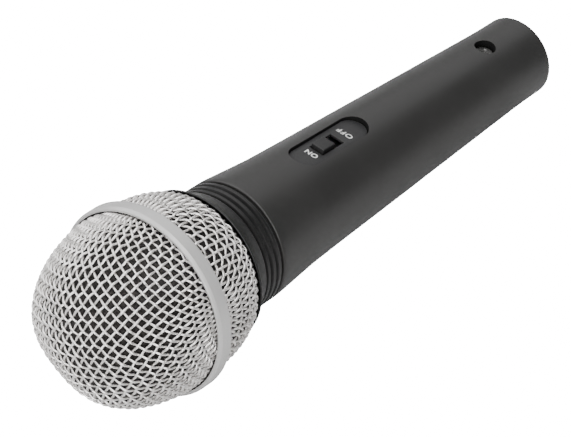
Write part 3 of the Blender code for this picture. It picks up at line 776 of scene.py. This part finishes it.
# ------------------------------------------------------------------ set screw
def screw_head(name, u0, w0, w1, radius, foot_w, foot_r):
    """A cross-head screw standing along w at u0, head from w0 up to w1."""
    prof = [(foot_w, 0.02), (foot_w, foot_r - 0.2), (foot_w + 0.3, foot_r)]
    turns = int((w0 - foot_w - 0.6) / 0.25)
    for k in range(turns):
        w = foot_w + 0.4 + 0.25 * k
        prof += [(w, foot_r), (w + 0.125, foot_r - 0.16)]
    prof += [(w0 - 0.02, foot_r), (w0, radius - 0.12), (w0 + 0.1, radius)]
    prof += [(w1 - 0.3, radius), (w1 - 0.12, radius - 0.08), (w1, radius - 0.34),
             (w1 + 0.02, 0.02)]
    sides = 64
    ang = np.arange(sides) * 2 * math.pi / sides
    pts = np.concatenate([np.stack([u0 + r * np.cos(ang), r * np.sin(ang),
                                    np.full(sides, w)], 1) for w, r in prof])
    faces = []
    for i in range(len(prof) - 1):
        for j in range(sides):
            k = (j + 1) % sides
            faces.append((i * sides + j, i * sides + k, (i + 1) * sides + k,
                          (i + 1) * sides + j))
    faces.append(tuple(range(sides))[::-1])
    top = (len(prof) - 1) * sides
    faces.append(tuple(top + j for j in range(sides)))
    head = link(name, P(pts), faces, sharp=35)
    turn = math.radians(20)
    for quarter in (0, 1):
        a = turn + quarter * math.pi / 2
        c, s_ = math.cos(a), math.sin(a)
        low = [(-1.35, -0.34), (1.35, -0.34), (1.35, 0.34), (-1.35, 0.34)]
        high = [(-1.85, -0.5), (1.85, -0.5), (1.85, 0.5), (-1.85, 0.5)]
        pts = [(u0 + x * c - y * s_, x * s_ + y * c, w1 - 0.42) for x, y in low]
        pts += [(u0 + x * c - y * s_, x * s_ + y * c, w1 + 0.25) for x, y in high]
        cut = link("cross_cut", P(np.array(pts)),
                   [(3, 2, 1, 0), (4, 5, 6, 7), (0, 1, 5, 4), (1, 2, 6, 5), (2, 3, 7, 6),
                    (3, 0, 4, 7)], smooth=False)
        set_boolean(head, cut)
    head.data.shade_smooth()
    head.data.set_sharp_from_angle(angle=math.radians(35))
    return head


set_screw = screw_head("cross_head_screw", SCREW_U, 9.2, 9.95, 2.6, 5.3, 1.35)
finish_piece(set_screw, "handle", "steel", SCREW, "xlr_set_screw")

# ------------------------------------------------------------------ the CAD nodes that stay
KEEP = {
    "shock_mount_front": RUBBER, "shock_mount_rear": RUBBER, "switch_frame": STEEL,
    "switch_base": BOARD, "moving_contact": BRASS, "switch_terminal_1": BRASS,
    "switch_terminal_2": BRASS, "switch_terminal_3": BRASS, "switch_screw_front": STEEL,
    "switch_screw_rear": STEEL, "xlr_insert": PLASTIC, "xlr_pin_1": SILVER,
    "xlr_pin_2": SILVER, "xlr_pin_3": SILVER, "ground_tab": BRASS,
    "capsule_housing": PLASTIC, "resonator_cap": PLASTIC, "acoustic_screen": FELT,
    "diaphragm": FILM, "voice_coil": COPPER, "pole_top_plate": STEEL, "pole_piece": STEEL,
    "magnet": MAGNET, "yoke_cup": STEEL, "capsule_terminal_board": BOARD,
    "capsule_lug_hot": BRASS, "capsule_lug_cold": BRASS, "lead_capsule_hot": RED,
    "lead_capsule_cold": WHITE, "lead_pin_hot": RED, "lead_pin_cold": WHITE}
for node, mat in KEEP.items():
    obj = NODES[node]
    obj.data.materials.clear()
    obj.data.materials.append(mat)

# ------------------------------------------------------------------ stage and light
def floor_material():
    mat, tree, shader = new_material("floor_paper", (0.88, 0.88, 0.88), 0.85,
                                     specular=0.1)
    n = noise(tree, 6.0, 3.0)
    ramp = colour_ramp(tree, n.outputs["Fac"], [(0.3, (0.87, 0.87, 0.87)),
                                                (0.7, (0.89, 0.89, 0.89))])
    tree.links.new(ramp.outputs["Color"], shader.inputs["Base Color"])
    # a lit white sweep: it reads near white in the picture without flooding the part
    glow = tree.nodes.new("ShaderNodeEmission")
    glow.inputs["Color"].default_value = (1, 1, 1, 1)
    glow.inputs["Strength"].default_value = 22.0
    path = tree.nodes.new("ShaderNodeLightPath")
    gloss = tree.nodes.new("ShaderNodeMath")
    gloss.operation = "MULTIPLY"
    gloss.inputs[1].default_value = 0.35
    tree.links.new(path.outputs["Is Glossy Ray"], gloss.inputs[0])
    share = tree.nodes.new("ShaderNodeMath")
    share.operation = "MULTIPLY"
    share.inputs[1].default_value = 0.92
    tree.links.new(path.outputs["Is Camera Ray"], share.inputs[0])
    shade = tree.nodes.new("ShaderNodeEmission")
    shade.inputs["Strength"].default_value = 0.0
    dim = tree.nodes.new("ShaderNodeMixShader")
    tree.links.new(gloss.outputs[0], dim.inputs["Fac"])
    tree.links.new(shader.outputs["BSDF"], dim.inputs[1])
    tree.links.new(shade.outputs["Emission"], dim.inputs[2])
    mix = tree.nodes.new("ShaderNodeMixShader")
    tree.links.new(share.outputs[0], mix.inputs["Fac"])
    tree.links.new(dim.outputs["Shader"], mix.inputs[1])
    tree.links.new(glow.outputs["Emission"], mix.inputs[2])
    tree.links.new(mix.outputs["Shader"], tree.nodes["Material Output"].inputs["Surface"])
    return mat


mesh = bpy.data.meshes.new("floor")
s = 6.0
mesh.from_pydata([(-s, -s, 0), (s, -s, 0), (s, s, 0), (-s, s, 0)], [], [(0, 1, 2, 3)])
floor = bpy.data.objects.new("floor", mesh)
bpy.context.scene.collection.objects.link(floor)
floor.data.materials.append(floor_material())

world = bpy.data.worlds.new("studio")
world.use_nodes = True
world.node_tree.nodes["Background"].inputs["Color"].default_value = (1, 1, 1, 1)
world.node_tree.nodes["Background"].inputs["Strength"].default_value = 0.35
bpy.context.scene.world = world


def area(name, at, target, size, power, size_y=None):
    data = bpy.data.lights.new(name, "AREA")
    data.energy = power
    data.shape = "RECTANGLE"
    data.size = size
    data.size_y = size_y or size
    obj = bpy.data.objects.new(name, data)
    bpy.context.scene.collection.objects.link(obj)
    way = Vector(target) - Vector(at)
    obj.matrix_world = Matrix.Translation(Vector(at)) @ way.to_track_quat(
        "-Z", "Y").to_matrix().to_4x4()
    return obj


area("soft_key", (-0.35, 1.05, 0.95), (0, 0, 0.02), 2.1, 22, 1.4)
area("soft_tail", (0.84, 0.56, 0.98), (0, 0, 0.02), 1.5, 6.6)
area("soft_top", (-0.3, -0.15, 1.4), (0, 0, 0), 1.0, 14)
area("soft_front", (-1.1, -0.75, 0.6), (-0.06, 0, 0.02), 0.8, 16)
